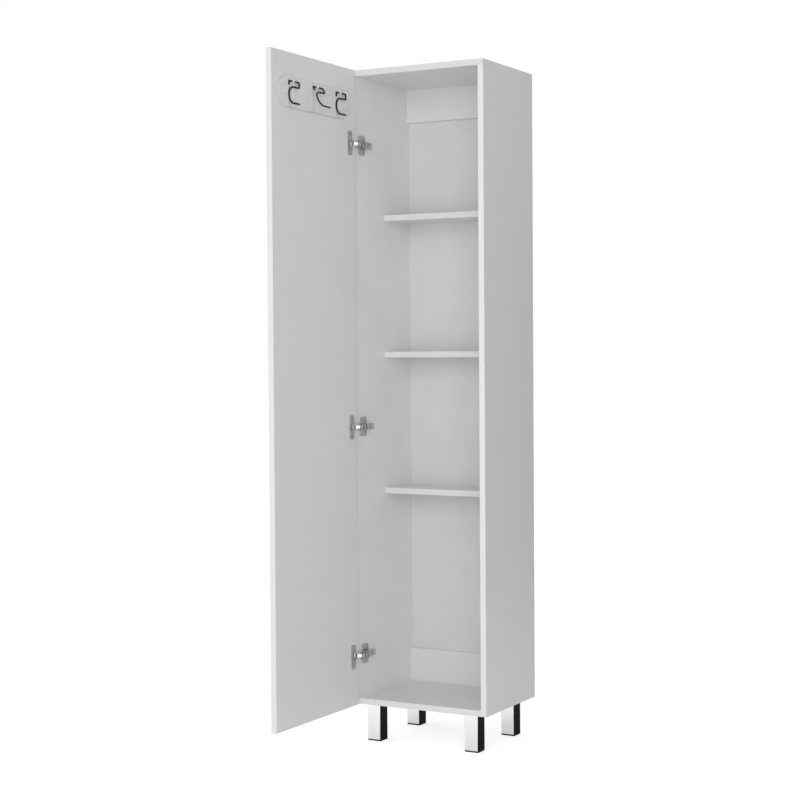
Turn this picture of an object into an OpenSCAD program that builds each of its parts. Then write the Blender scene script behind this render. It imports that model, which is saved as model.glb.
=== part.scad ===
// Tall bathroom cabinet with one door, half-depth shelves, chromed legs,
// concealed four-bar hinges and a rack of fold-out hooks inside the door.
// Millimetres, +Z up, door standing open.

/* [Cabinet] */
// Outer width of the cabinet
width = 380; // [340:5:460]
// Depth of the side panels
depth = 281; // [260:1:340]
// Height from the floor to the top face
height = 1710; // [1500:10:1900]
// Thickness of the coated boards
board = 15; // [13:1:18]
// Thickness of the back panel
back_t = 3; // [2:0.5:6]
// How far the back panel stays inside the outline
back_inset = 2; // [0.5:0.5:5]
// Thickness of the back rails
rail_t = 12; // [10:1:15]
// Height of the back rails
rail_h = 87; // [60:1:120]

/* [Shelves] */
// Number of shelves
shelf_count = 3; // [3:1:3]
// Depth of the shelves, which stop short of the front
shelf_depth = 136; // [110:1:180]
// Height of the free space above each shelf
shelf_space = 342; // [300:1:360]

/* [Door] */
// Gap between the door's edge and the cabinet's outline, on each side
reveal = 1.5; // [1:0.5:2]
// Gap above and below the door
door_gap_z = 1; // [0.5:0.5:4]
// Gap between the closed door and the cabinet's front
face_gap = 1; // [0.8:0.1:1.2]
// Angle at which the door stands open
open_angle = 90; // [85:1:92]
// Radius of the soft bumpers
bumper_r = 4; // [3:0.5:6]
// Clearance left between a bumper and the cabinet when the door is closed
bumper_clear = 0.1; // [0.05:0.05:0.3]

/* [Legs] */
// Height from the floor to the underside of the cabinet
leg_h = 95; // [80:1:130]
// Side of the square leg tube
leg_w = 38; // [34:1:42]
// Wall of the leg tube
leg_wall = 1.5; // [1:0.5:2.5]
// Corner radius of the leg tube
leg_r = 2.5; // [2:0.5:5]
// Thickness of the welded plate that closes the tube's top
leg_plate = 3; // [2:0.5:5]
// From the outer face of the side panel to the leg
leg_inset_x = 31; // [20:1:45]
// From the cabinet's front to the front legs
leg_inset_front = 15; // [10:1:40]
// From the cabinet's back to the back legs
leg_inset_back = 25; // [15:1:45]
// Thickness of the foot cap under the tube
cap_t = 4; // [3:0.5:8]
// Height of the plug of the foot cap inside the tube
plug_h = 12; // [8:1:20]
// Radius of the leg bolt
leg_bolt_r = 4; // [3:0.5:5]
// Radius of the leg bolt's head
leg_bolt_head_r = 7; // [6:0.5:9]
// Thickness of the leg bolt's head
leg_bolt_head_t = 5; // [4:0.5:7]
// Length of the leg bolt in the bottom board
leg_bolt_bite = 11; // [8:1:12]

/* [Hinges] */
// From the cabinet's underside up to the lower hinge
hinge_rise = 126; // [95:1:200]
// From the top face down to the middle hinge
hinge_mid_drop = 905; // [830:1:970]
// From the top face down to the upper hinge
hinge_drop = 187; // [150:1:260]
// Radius of the cup
cup_r = 17.5; // [17.3:0.1:17.7]
// Depth of the cup
cup_depth = 12.6; // [12.5:0.1:13]
// Wall and floor of the cup
cup_wall = 1.1; // [0.9:0.1:1.2]
// Board left between the cup and the door's hinge edge
cup_edge = 3; // [2.9:0.1:3.1]
// Thickness of the cup's flange
flange_t = 1.2; // [1:0.1:1.4]
// Length of the flange along the door's edge
flange_h = 62; // [58:1:68]
// Width of the flange
flange_w = 21; // [18:0.5:24]
// Spacing of the cup screws
cup_screw_pitch = 48; // [44:1:50]
// From the cup's centre to the line of the cup screws
cup_screw_back = 6; // [5:0.5:8]
// Half the height of the cup's mouth
mouth_half = 8.2; // [8:0.1:9]
// Radius of the pins
pin_r = 1.2; // [1:0.1:1.3]
// Running clearance of a link on its pin
pin_clear = 0.05; // [0.03:0.01:0.1]
// Half the width of the links seen from the side
link_half = 1.9; // [1.8:0.1:2]
// Half the thickness of the inner link
inner_half = 4.2; // [3.8:0.1:4.3]
// Gap between neighbouring plates of the hinge
plate_gap = 0.3; // [0.2:0.05:0.4]
// Thickness of the arm's cheeks and of the outer link plates
plate_t = 1.3; // [1:0.1:1.4]
// Width of the arm's body
arm_w = 16; // [15:0.5:18]
// Height of the arm's top face above the side panel
arm_top = 16.5; // [15:0.5:18]
// Length of the arm behind the cabinet's front
arm_reach = 57; // [52:1:64]
// Sheet thickness of the arm's body
arm_t = 1.5; // [1.2:0.1:2]
// Setback of the plate screws from the cabinet's front
plate_line = 37; // [35:1:39]
// Spacing of the plate screws
plate_pitch = 32; // [30:1:36]
// Height of the mounting plate's wings
wing_h = 50; // [46:1:56]
// Thickness of the mounting plate's wings
wing_t = 2.5; // [2:0.1:3.5]
// Half the width of the mounting plate's saddle
saddle_half = 6.2; // [5.5:0.1:6.3]

/* [Hook rack] */
// Length of the rack plate
rack_l = 318; // [300:1:340]
// Height of the rack plate
rack_h = 74; // [68:1:84]
// Thickness of the rack plate
rack_t = 4; // [3:0.5:6]
// From the top face down to the rack's centre
rack_drop = 96; // [70:1:130]
// From the door's hinge edge to the rack's centre
rack_u = 194; // [185:1:200]
// Spacing of the hooks
hook_pitch = 106; // [90:1:108]
// Width of a raised pad
pad_w = 34; // [28:1:40]
// Height of a raised pad above the plate
pad_t = 3; // [2:0.5:5]
// Radius of the hook wire
wire_r = 1.95; // [1.6:0.05:2.1]
// Gap between a folded hook and its pad
wire_gap = 0.4; // [0.3:0.1:0.8]
// Width of a hook
hook_w = 44; // [40:1:50]
// Height of the hook's upper loop
hook_loop_h = 13; // [11:1:16]
// Radius of the hook's round part
hook_r = 19; // [16:0.5:21]
// Length of the short end of the wire
hook_tail = 8; // [6:1:12]
// Bend radius of the wire's corners
hook_bend = 2.5; // [2.2:0.1:3.5]
// Angle at which the middle hook stands out
hook_out = 23; // [0:1:60]
// Width of a hook's clip
clip_w = 7; // [5:0.5:8]
// Wall of the clip round the wire
clip_wall = 1.6; // [1.2:0.1:2.2]

/* [Handle] */
// Height of the handle's centre above the floor
handle_z = 950; // [850:10:1100]
// From the door's free edge to the handle's centre line
handle_inset = 40; // [38:1:60]
// How far the handle stands out from the door
handle_out = 22; // [20:1:26]
// Radius of the handle's bar
handle_r = 5; // [4:0.5:6]
// Spacing of the handle's posts
handle_pitch = 96; // [64:32:160]
// Length of the bar beyond each post
handle_end = 14; // [12:1:24]
// Radius of the handle's feet
handle_foot_r = 9; // [8:0.5:11]
// Thickness of the handle's feet
handle_foot_t = 2.5; // [2:0.5:4]

/* [Fasteners] */
// Radius of the cam nuts
cam_r = 7.5; // [7:0.5:8]
// Height of the cam nuts
cam_h = 11; // [10:0.5:12]
// From a board's end to the centre of a cam nut
cam_back = 24; // [20:1:34]
// Radius of the cam bolts
cam_bolt_r = 3; // [2.5:0.25:3.5]
// Depth of a cam bolt in the side panel
cam_bite = 10; // [8:0.5:11]
// Radius of the dowels
dowel_r = 4; // [3:0.5:4]
// Length of the dowels
dowel_l = 24; // [20:1:28]
// Depth of a dowel in the board whose face it enters
dowel_bite = 9; // [7:1:11]
// Radius of the wood screws
screw_r = 1.8; // [1.5:0.1:2]
// Radius of the wood screws' heads
screw_head_r = 3.5; // [3:0.1:4]
// Thickness of the wood screws' heads
screw_head_t = 1.4; // [1.2:0.1:2]
// Depth of the wood screws in the board
screw_bite = 10; // [8:0.5:11]
// Clearance of a fastener in its hole
fastener_clear = 0.05; // [0.02:0.01:0.1]
// Radius of the back panel's nails
nail_r = 0.8; // [0.6:0.1:1]
// Length of the nails in the boards
nail_bite = 15; // [10:1:20]
// Number of nails down each side of the back panel
nail_count = 8; // [5:1:12]

/* [Hidden] */
$fn = 48;

// Small step that carries a cut past a face
over = 1;
// Step so small that it only keeps two curves from touching along a line
hair = 0.02;

// Pivots of the hinge in plan with the door closed: x from the left outer face, y from the front
front_pivot = [33.6, -2.5];
rear_pivot = [36, 4.8];
deep_pivot = [9.3, -8.5];
near_pivot = [10, -3.5];
// Elbows of the links that lead round the door's edge
inner_elbow = [17.4, -10.2];
outer_elbow = [16, -9.4];
// Turn of each link for one degree of the door
inner_ratio = 0.228;
outer_ratio = 0.364;
// Slot of the outer link's eye at the arm: direction, reach both ways, offset and play
slot_angle = 17.7;
slot_inward = 1.7;
slot_outward = 1.85;
slot_across = 0.1;
slot_play = 0.5;
slot_wall = 0.8;
eye_r = 2.4;
nose_r = 2.6;

function turned(p, a) = [p[0] * cos(a) - p[1] * sin(a), p[0] * sin(a) + p[1] * cos(a)];

door_w = width - 2 * reveal;
door_h = height - leg_h - 2 * door_gap_z;
door_z = leg_h + door_gap_z;
inner_w = width - 2 * board;
inner_x = board;
floor_z = leg_h + board;
roof_z = height - board;
shelf_y = depth - shelf_depth;
rail_y = depth - rail_t;
full_depth = depth + back_t;

// The door's own origin is its hinge edge at the inner face, x along the door, y into the cabinet
deep_local = deep_pivot - [reveal, -face_gap];
near_local = near_pivot - [reveal, -face_gap];
deep_open = front_pivot + turned(deep_pivot - front_pivot, inner_ratio * open_angle);
door_at = deep_open - turned(deep_local, -open_angle);
link_shift = door_at + turned(near_local, -open_angle) - near_pivot;

// Plan extents of the part at rest put the origin under the middle of its outline
reach_left = min(0, door_at[0] - board - handle_out);
reach_front = door_at[1] - door_w;
left_x = -(reach_left + width) / 2;
front_y = -(reach_front + full_depth) / 2;

hinge_z = [height - hinge_drop, height - hinge_mid_drop, leg_h + hinge_rise];
cup_u = cup_edge + cup_r;
flange_u = cup_u + cup_screw_back;
cheek_in = inner_half + plate_gap;
cheek_out = cheek_in + plate_t;
outer_in = cheek_out + plate_gap;
outer_out = outer_in + plate_t;

function shelf_top(i) = roof_z - (i + 1) * shelf_space - i * board;
shelf_tops = [for (i = [0 : shelf_count - 1]) shelf_top(i)];

// Cam joints and dowels of the boards between the sides, as [y, top face of the board]
bottom_margin = 45;
shelf_margin = 30;
cam_rows = concat([for (y = [bottom_margin, depth - bottom_margin]) [y, floor_z]],
    [for (z = shelf_tops) for (y = [shelf_y + shelf_margin, depth - shelf_margin]) [y, z]]);
dowel_rows = concat([[depth / 2, floor_z]], [for (z = shelf_tops) [depth - shelf_depth / 2, z]]);
rail_rows = [for (z = [roof_z - rail_h, floor_z]) for (s = [0.25, 0.75]) z + s * rail_h];
top_rows = [for (s = [0.12, 0.5, 0.88]) s * depth];

// Places and small shapes

module at_cabinet() {
    translate([left_x, front_y, 0]) children();
}

module on_door() {
    at_cabinet() translate([door_at[0], door_at[1], 0]) rotate([0, 0, -open_angle]) children();
}

module swung(pivot, angle) {
    translate([pivot[0], pivot[1], 0]) rotate([0, 0, angle]) translate([-pivot[0], -pivot[1], 0]) children();
}

module both_sides() {
    children();
    translate([width, 0, 0]) mirror([1, 0, 0]) children();
}

module rounded_rect(w, h, r) {
    translate([r, 0]) square([w - 2 * r, h]);
    translate([0, r]) square([w, h - 2 * r]);
    for (x = [r, w - r]) for (y = [r, h - r]) translate([x, y]) circle(r);
}

// Bar with round ends; its straight sides lie a hair inside the ends
module bar2d(p, q, r) {
    d = q - p;
    side = r - hair;
    translate(p) circle(r);
    translate(q) circle(r);
    translate(p) rotate(atan2(d[1], d[0])) translate([0, -side]) square([norm(d), 2 * side]);
}

module along_x(x, y, z, l, r) {
    translate([x, y, z]) rotate([0, 90, 0]) cylinder(h = l, r = r);
}

module along_y(x, y, z, l, r) {
    translate([x, y, z]) rotate([-90, 0, 0]) cylinder(h = l, r = r);
}

// A plate of the hinge, extruded along the door's height on both sides of its middle
module plate_pair(z0, z1) {
    translate([0, 0, z0]) linear_extrude(z1 - z0) children();
    translate([0, 0, -z1]) linear_extrude(z1 - z0) children();
}

// Joints of the boards

module cam_bolt_left(y, top_z, r) {
    along_x(board - cam_bite, y, top_z - board / 2, cam_bite + cam_back - cam_bolt_r / 2, r);
}

module dowel_left(y, mid_z, r) {
    along_x(board - dowel_bite, y, mid_z, dowel_l, r);
}

module dowel_top(y, r) {
    translate([board / 2, y, roof_z + dowel_bite - dowel_l]) cylinder(h = dowel_l, r = r);
}

module joint_holes() {
    both_sides() {
        for (c = cam_rows) cam_bolt_left(c[0], c[1], cam_bolt_r + fastener_clear);
        for (d = dowel_rows) dowel_left(d[0], d[1] - board / 2, dowel_r + fastener_clear);
        for (z = rail_rows) dowel_left(rail_y + rail_t / 2, z, dowel_r + fastener_clear);
        for (y = top_rows) dowel_top(y, dowel_r + fastener_clear);
        for (c = cam_rows) translate([board + cam_back, c[0], c[1] - board - over])
            cylinder(h = cam_h + over, r = cam_r + fastener_clear);
    }
}

module leg_places() {
    for (x = [leg_inset_x, width - leg_inset_x - leg_w])
        for (y = [leg_inset_front, depth + back_t - leg_inset_back - leg_w])
            translate([x, y, 0]) children();
}

module board_node(size, at) {
    color("white") at_cabinet() difference() {
        translate(at) cube(size);
        joint_holes();
        nail_set(nail_r + fastener_clear);
        children();
    }
}

module side_left() {
    board_node([board, depth, roof_z - leg_h], [0, 0, leg_h]) plate_screw_set(fastener_clear);
}

module side_right() {
    board_node([board, depth, roof_z - leg_h], [width - board, 0, leg_h]);
}

module top_panel() {
    board_node([width, depth, board], [0, 0, roof_z]);
}

module bottom_panel() {
    board_node([inner_w, depth, board], [inner_x, 0, leg_h]) leg_places()
        translate([leg_w / 2, leg_w / 2, leg_h - over])
            cylinder(h = leg_bolt_bite + over + fastener_clear, r = leg_bolt_r + fastener_clear);
}

module shelf(i) {
    board_node([inner_w, shelf_depth, board], [inner_x, shelf_y, shelf_tops[i] - board]);
}

module rail(z) {
    board_node([inner_w, rail_t, rail_h], [inner_x, rail_y, z]);
}

module back_panel() {
    color("gainsboro") at_cabinet() difference() {
        translate([back_inset, depth, leg_h + back_inset])
            cube([width - 2 * back_inset, back_t, height - leg_h - 2 * back_inset]);
        nail_set(nail_r + fastener_clear);
        nail_heads(fastener_clear);
    }
}

// Nails down both sides and along the top and bottom boards of the back panel
nail_head_r = 2 * nail_r;
nail_head_t = 0.6;
nail_run = height - leg_h - 2 * board - 4 * nail_head_r;

module nail(x, z, r) {
    along_y(x, depth - nail_bite, z, nail_bite + back_t, r);
}

module nail_set(r) {
    for (x = [board / 2, width - board / 2]) for (i = [0 : nail_count - 1])
        nail(x, leg_h + board + 2 * nail_head_r + i * nail_run / (nail_count - 1), r);
    for (z = [leg_h + board / 2, height - board / 2]) for (s = [1 / 3, 2 / 3])
        nail(s * width, z, r);
}

module nail_head(x, z, extra) {
    along_y(x, depth + back_t - nail_head_t - extra, z, nail_head_t + 2 * extra, nail_head_r + extra);
}

module nail_heads(extra) {
    for (x = [board / 2, width - board / 2]) for (i = [0 : nail_count - 1])
        nail_head(x, leg_h + board + 2 * nail_head_r + i * nail_run / (nail_count - 1), extra);
    for (z = [leg_h + board / 2, height - board / 2]) for (s = [1 / 3, 2 / 3])
        nail_head(s * width, z, extra);
}

module back_nails() {
    color("silver") at_cabinet() {
        nail_set(nail_r);
        nail_heads(0);
    }
}

module cam_nuts() {
    color("silver") at_cabinet() both_sides() for (c = cam_rows) difference() {
        translate([board + cam_back, c[0], c[1] - board]) cylinder(h = cam_h, r = cam_r);
        cam_bolt_left(c[0], c[1], cam_bolt_r + 2 * fastener_clear);
        translate([board + cam_back, c[0], c[1] - board - over])
            cylinder(h = over + board / 4, r = cam_r / 3, $fn = 6);
    }
}

module cam_bolts() {
    color("silver") at_cabinet() both_sides() for (c = cam_rows) cam_bolt_left(c[0], c[1], cam_bolt_r);
}

module dowels() {
    color("burlywood") at_cabinet() both_sides() {
        for (d = dowel_rows) dowel_left(d[0], d[1] - board / 2, dowel_r);
        for (z = rail_rows) dowel_left(rail_y + rail_t / 2, z, dowel_r);
        for (y = top_rows) dowel_top(y, dowel_r);
    }
}

// Legs

module leg(ix, iy) {
    x = ix == 0 ? leg_inset_x : width - leg_inset_x - leg_w;
    y = iy == 0 ? leg_inset_front : depth + back_t - leg_inset_back - leg_w;
    color("silver") at_cabinet() translate([x, y, 0]) difference() {
        translate([0, 0, cap_t]) linear_extrude(leg_h - cap_t) rounded_rect(leg_w, leg_w, leg_r);
        translate([leg_wall, leg_wall, cap_t - over]) linear_extrude(leg_h - cap_t - leg_plate + over)
            rounded_rect(leg_w - 2 * leg_wall, leg_w - 2 * leg_wall, leg_r - leg_wall);
        translate([leg_w / 2, leg_w / 2, 0]) cylinder(h = leg_h + over, r = leg_bolt_r + fastener_clear);
    }
}

module foot(ix, iy) {
    x = ix == 0 ? leg_inset_x : width - leg_inset_x - leg_w;
    y = iy == 0 ? leg_inset_front : depth + back_t - leg_inset_back - leg_w;
    plug = leg_w - 2 * leg_wall - 2 * fastener_clear;
    rim = leg_wall + fastener_clear;
    color("dimgray") at_cabinet() translate([x, y, 0]) {
        linear_extrude(cap_t) rounded_rect(leg_w, leg_w, leg_r);
        translate([rim, rim, cap_t]) linear_extrude(plug_h) difference() {
            rounded_rect(plug, plug, leg_r - leg_wall);
            translate([leg_wall, leg_wall]) square(plug - 2 * leg_wall);
        }
    }
}

module leg_bolts() {
    under = leg_h - leg_plate - leg_bolt_head_t;
    color("silver") at_cabinet() leg_places() translate([leg_w / 2, leg_w / 2, 0]) {
        translate([0, 0, under]) cylinder(h = leg_bolt_head_t, r = leg_bolt_head_r, $fn = 6);
        translate([0, 0, under]) cylinder(h = leg_bolt_head_t + leg_plate + leg_bolt_bite, r = leg_bolt_r);
    }
}

// Hinges: mounting plate, arm, links, cup

wing_front = 15;
wing_back = plate_line + 7;
saddle_front = 16;
saddle_back = arm_reach - 2;
boss_front = 33;
boss_back = 47;
fix_y = 40;
adjust_y = 20;
// Top sheet of the arm, which ends behind the outer link's eye and slopes down over the plate
sheet_from = 10.2;
slope_end = 27;
nose_top = rear_pivot[0] + nose_r - 2 * hair;
// Front wall of the arm, which rises from its low corner under the links
arm_low = board + 6;
arm_front = 3;
wall_foot = 26.5;
wall_x = 30;
wall_knee = 6.5;
wall_end = 12.5;

module mounting_plate(i) {
    color("silver") at_cabinet() translate([board, 0, hinge_z[i]]) difference() {
        union() {
            translate([0, wing_front, -wing_h / 2]) rotate([90, 0, 90]) linear_extrude(wing_t)
                rounded_rect(wing_back - wing_front, wing_h, 4);
            translate([0, saddle_front, -saddle_half])
                cube([arm_top - arm_t - 4, saddle_back - saddle_front, 2 * saddle_half]);
            translate([0, boss_front, -saddle_half])
                cube([arm_top - arm_t, boss_back - boss_front, 2 * saddle_half]);
        }
        for (s = [-1, 1]) along_x(-over, plate_line, s * plate_pitch / 2, wing_t + 2 * over,
            screw_r + fastener_clear);
        along_x(arm_top - arm_t - screw_bite, fix_y, 0, screw_bite + over, screw_r + fastener_clear);
        along_x(arm_t, adjust_y, 0, arm_top, screw_r + fastener_clear);
    }
}

module plate_screw_set(extra) {
    for (z = hinge_z) for (s = [-1, 1])
        along_x(board - screw_bite, plate_line, z + s * plate_pitch / 2,
            screw_bite + wing_t, screw_r + extra);
}

module plate_screws() {
    color("silver") at_cabinet() {
        plate_screw_set(0);
        for (z = hinge_z) for (s = [-1, 1])
            along_x(board + wing_t, plate_line, z + s * plate_pitch / 2, screw_head_t, screw_head_r);
    }
}

// Side outline of the arm: its body over the plate, from the front wall to the end of the channel
module arm_outline() {
    polygon([[arm_low, arm_front], [arm_low, arm_reach], [board + arm_top, arm_reach],
        [board + arm_top, slope_end], [nose_top - 0.4, sheet_from + 2], [nose_top, sheet_from],
        [wall_x, sheet_from], [wall_x, wall_knee], [wall_foot, arm_front]]);
}

// What is open in the body: the channel under the top sheet and behind the front wall
module arm_hollow() {
    top = board + arm_top - arm_t;
    polygon([[board, arm_front + arm_t], [wall_foot - 0.4 * arm_t, arm_front + arm_t],
        [wall_x - arm_t, wall_knee + 0.4 * arm_t], [wall_x - arm_t, wall_end], [wall_x, wall_end],
        [wall_x, sheet_from - over], [nose_top - arm_t, sheet_from - over],
        [nose_top - 0.4 - arm_t, sheet_from + 1.5], [top, slope_end - 1],
        [top, arm_reach + over], [board, arm_reach + over]]);
}

// Cheek of the nose, which holds both pivot pins
module arm_nose() {
    bar2d(front_pivot, rear_pivot, nose_r);
    polygon([[front_pivot[0] - nose_r / 2, front_pivot[1]], [wall_x - arm_t / 2, wall_knee],
        [wall_x - arm_t / 2, wall_end], [nose_top - 0.4, sheet_from + 2], [nose_top, sheet_from],
        [nose_top, rear_pivot[1]]]);
}

module arm(i) {
    color("silver") at_cabinet() translate([0, 0, hinge_z[i]]) difference() {
        union() {
            difference() {
                translate([0, 0, -arm_w / 2]) linear_extrude(arm_w) arm_outline();
                translate([0, 0, arm_t - arm_w / 2]) linear_extrude(arm_w - 2 * arm_t) arm_hollow();
            }
            plate_pair(cheek_in, cheek_out) arm_nose();
            plate_pair(cheek_in, arm_w / 2) intersection() {
                arm_outline();
                translate([wall_x - arm_t / 2, sheet_from]) square([board, 3.6]);
            }
        }
        for (p = [front_pivot, rear_pivot]) translate([p[0], p[1], -arm_w])
            cylinder(h = 2 * arm_w, r = pin_r + fastener_clear);
        translate([board + arm_top - over - arm_t, fix_y, 0]) rotate([90, 0, 90])
            linear_extrude(arm_t + 2 * over) bar2d([-3, 0], [3, 0], screw_r + fastener_clear);
        along_x(board + arm_top - over - arm_t, adjust_y, 0, 4 * over + arm_t, screw_r + fastener_clear);
    }
}

module arm_screws() {
    color("dimgray") at_cabinet() for (z = hinge_z) {
        along_x(board + arm_top - arm_t - screw_bite, fix_y, z, screw_bite + arm_t, screw_r);
        along_x(board + arm_top, fix_y, z, screw_head_t, screw_head_r);
        along_x(board + arm_t, adjust_y, z, arm_top - arm_t + screw_head_t, screw_r);
    }
}

module arm_pins() {
    color("silver") at_cabinet() for (z = hinge_z) {
        translate([front_pivot[0], front_pivot[1], z - cheek_out]) cylinder(h = 2 * cheek_out, r = pin_r);
        translate([rear_pivot[0], rear_pivot[1], z - outer_out]) cylinder(h = 2 * outer_out, r = pin_r);
    }
}

module inner_link(i) {
    color("gainsboro") at_cabinet() swung(front_pivot, inner_ratio * open_angle) translate([0, 0, hinge_z[i]])
        difference() {
            translate([0, 0, -inner_half]) linear_extrude(2 * inner_half) {
                bar2d(front_pivot, inner_elbow, link_half);
                bar2d(deep_pivot, inner_elbow, link_half);
                translate(front_pivot) circle(eye_r);
                translate(deep_pivot) circle(eye_r);
            }
            for (p = [front_pivot, deep_pivot]) translate([p[0], p[1], -arm_w])
                cylinder(h = 2 * arm_w, r = pin_r + pin_clear);
        }
}

// The eye at the arm is a slot, since the pin shifts in it a little as the door turns
module outer_link(i) {
    color("gainsboro") at_cabinet() translate([link_shift[0], link_shift[1], hinge_z[i]])
        swung(near_pivot, outer_ratio * open_angle) difference() {
            plate_pair(outer_in, outer_out) {
                bar2d(rear_pivot, outer_elbow, link_half);
                bar2d(near_pivot, outer_elbow, link_half);
                translate(near_pivot) circle(eye_r);
                link_slot(pin_r + slot_wall);
            }
            translate([0, 0, -arm_w]) linear_extrude(2 * arm_w) link_slot(pin_r);
            translate([near_pivot[0], near_pivot[1], -arm_w]) cylinder(h = 2 * arm_w, r = pin_r + pin_clear);
        }
}

module link_slot(r) {
    translate(rear_pivot) rotate(slot_angle)
        bar2d([-slot_inward, slot_across], [slot_outward, slot_across], r + slot_play);
}

// The cup is let into the door and its flange lies on the door's inner face
module cup_body(extra) {
    translate([cup_u, 0, 0]) rotate([90, 0, 0]) cylinder(h = cup_depth + extra, r = cup_r + extra);
}

module cup(i) {
    color("silver") on_door() translate([0, 0, hinge_z[i]]) difference() {
        union() {
            cup_body(0);
            intersection() {
                translate([cup_u, flange_t, 0]) rotate([90, 0, 0]) cylinder(h = flange_t, r = cup_r + 1);
                translate([board, 0, -flange_h / 2]) cube([2 * cup_r, flange_t, flange_h]);
            }
            translate([flange_u - flange_w / 2, flange_t, -flange_h / 2]) rotate([90, 0, 0])
                linear_extrude(flange_t) rounded_rect(flange_w, flange_h, 6);
        }
        translate([cup_u, cup_wall - cup_depth, 0]) rotate([-90, 0, 0])
            cylinder(h = cup_depth - 2 * cup_wall, r = cup_r - cup_wall);
        translate([cup_edge + cup_wall / 2, cup_wall - cup_depth, -mouth_half])
            cube([2 * cup_r - 2.5 * cup_wall, cup_depth + flange_t, 2 * mouth_half]);
        cup_pin_set(0, fastener_clear);
        cup_screw_pair(0, fastener_clear);
    }
}

// Deep pin from wall to wall, and a stub on each side for the outer link plates; they end in the wall
module cup_pin_set(z, extra) {
    stub_from = outer_in - plate_gap / 2;
    intersection() {
        translate([cup_u, 0, z]) rotate([90, 0, 0]) cylinder(h = cup_depth, r = cup_r - cup_wall / 3 + extra);
        union() {
            translate([deep_local[0], deep_local[1], z - cup_r]) cylinder(h = 2 * cup_r, r = pin_r + extra);
            for (s = [0, 1]) translate([near_local[0], near_local[1], z]) mirror([0, 0, s])
                translate([0, 0, stub_from]) cylinder(h = cup_r - stub_from, r = pin_r + extra);
        }
    }
}

module cup_pins() {
    color("silver") on_door() for (z = hinge_z) cup_pin_set(z, 0);
}

module cup_screw_pair(z, extra) {
    for (s = [-1, 1]) along_y(flange_u, -screw_bite, z + s * cup_screw_pitch / 2,
        screw_bite + flange_t + extra, screw_r + extra);
}

module cup_screws() {
    color("silver") on_door() for (z = hinge_z) {
        cup_screw_pair(z, 0);
        for (s = [-1, 1])
            along_y(flange_u, flange_t, z + s * cup_screw_pitch / 2, screw_head_t, screw_head_r);
    }
}

// Door with its handle and bumpers

module door_panel() {
    color("white") on_door() difference() {
        translate([0, -board, door_z]) cube([door_w, board, door_h]);
        for (z = hinge_z) translate([0, 0, z]) {
            cup_body(fastener_clear);
            cup_screw_pair(0, fastener_clear);
        }
        rack_screw_set(fastener_clear);
        handle_screw_set(fastener_clear);
    }
}

module bumpers() {
    color("whitesmoke") on_door() for (z = [door_z + 2 * board, door_z + door_h - 2 * board])
        along_y(door_w + reveal - board / 2 - reveal, 0, z, face_gap - bumper_clear, bumper_r);
}

handle_u = door_w - handle_inset;
handle_bar = handle_out - handle_r;

module door_handle() {
    color("silver") on_door() difference() {
        union() {
            translate([handle_u, -board - handle_bar, handle_z - handle_pitch / 2 - handle_end])
                cylinder(h = handle_pitch + 2 * handle_end, r = handle_r);
            for (s = [-1, 1]) translate([0, 0, handle_z + s * handle_pitch / 2]) {
                along_y(handle_u, -board - handle_bar, 0, handle_bar, handle_r);
                along_y(handle_u, -board - handle_foot_t, 0, handle_foot_t, handle_foot_r);
            }
        }
        handle_screw_set(fastener_clear);
    }
}

module handle_screw_set(extra) {
    for (s = [-1, 1]) along_y(handle_u, -board - handle_bar, handle_z + s * handle_pitch / 2,
        handle_bar + screw_bite, screw_r + extra);
}

module handle_screws() {
    color("silver") on_door() handle_screw_set(0);
}

// Hook rack: the pads sit a little away from the hinges, the hooks hang from near the pads' tops
pad_shift = 2;
hook_rise = 25.2;
hook_left_u = 14.2;
clip_at = 13;
rack_screw_in = 22;
// Hollow down each pad: radius, and depth at the pad's middle
hollow_r = 16;
hollow_t = 1.5;
rack_z = height - rack_drop;
hook_y = rack_t + pad_t + wire_gap + wire_r;
hook_z = rack_z + hook_rise;

function pad_u(k) = rack_u + k * hook_pitch + pad_shift;

module rack_plate() {
    color("white") on_door() difference() {
        union() {
            translate([rack_u, 0, rack_z]) rotate([-90, 0, 0]) linear_extrude(rack_t) stadium(rack_l, rack_h);
            intersection() {
                translate([rack_u, 0, rack_z]) rotate([-90, 0, 0]) linear_extrude(rack_t + pad_t)
                    stadium(rack_l - 4, rack_h - 2);
                for (k = [-1 : 1]) translate([pad_u(k) - pad_w / 2, 0, rack_z - rack_h / 2])
                    cube([pad_w, rack_t + pad_t, rack_h]);
            }
        }
        for (k = [-1 : 1]) translate([pad_u(k), rack_t + pad_t - hollow_t + hollow_r, rack_z - rack_h])
            cylinder(h = 2 * rack_h, r = hollow_r);
        for (k = [-1 : 1]) clip_foot(k, fastener_clear);
        rack_screw_set(fastener_clear);
    }
}

module stadium(l, h) {
    bar2d([-(l - h) / 2, 0], [(l - h) / 2, 0], h / 2);
}

module rack_screw_set(extra) {
    for (s = [-1, 1]) along_y(rack_u + s * (rack_l / 2 - rack_screw_in), -screw_bite, rack_z,
        screw_bite + rack_t, screw_r + extra);
}

module rack_screws() {
    color("white") on_door() {
        rack_screw_set(0);
        for (s = [-1, 1]) along_y(rack_u + s * (rack_l / 2 - rack_screw_in), rack_t, rack_z,
            screw_head_t, screw_head_r);
    }
}

// A clip stands in a recess of each pad and holds the hook's upper wire in its bore
function clip_u(k) = pad_u(k) + hook_left_u - clip_at - clip_w;

module clip_foot(k, extra) {
    half = wire_r + clip_wall + extra;
    translate([clip_u(k) - extra, rack_t, hook_z - half])
        cube([clip_w + 2 * extra, hook_y - rack_t, 2 * half]);
}

module rack_clips() {
    color("white") on_door() for (k = [-1 : 1]) difference() {
        union() {
            along_x(clip_u(k), hook_y, hook_z, clip_w, wire_r + clip_wall);
            clip_foot(k, 0);
        }
        along_x(clip_u(k) - over, hook_y, hook_z, clip_w + 2 * over, wire_r + pin_clear);
    }
}

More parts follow.
